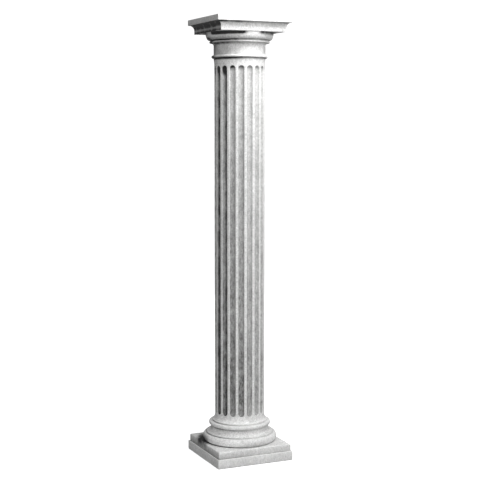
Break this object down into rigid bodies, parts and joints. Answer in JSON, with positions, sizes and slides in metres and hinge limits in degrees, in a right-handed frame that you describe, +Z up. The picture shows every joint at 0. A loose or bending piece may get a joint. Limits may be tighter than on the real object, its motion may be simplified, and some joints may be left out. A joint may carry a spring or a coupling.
{
  "type": "fluted column",
  "caption": "Free-standing fluted column with a stepped square plinth, moulded round base, and a moulded capital under a square abacus; stands by its weight and carries a load on top.",
  "frame": {"origin": "centre of the plinth's underside", "axes": "+Z up the column's axis; -Y out of the face that the picture shows lit, with a flute at its middle; +X to the right of that face"},
  "size_m": [0.338, 0.338, 1.83],
  "materials": {
    "cast_stone": "pale grey-white cast stone, fine matt grain, with grime settled in the flutes"
  },
  "bodies": {
    "root": {"base": "cast_stone", "shaft": "cast_stone", "capital": "cast_stone"}
  },
  "joints": []
}
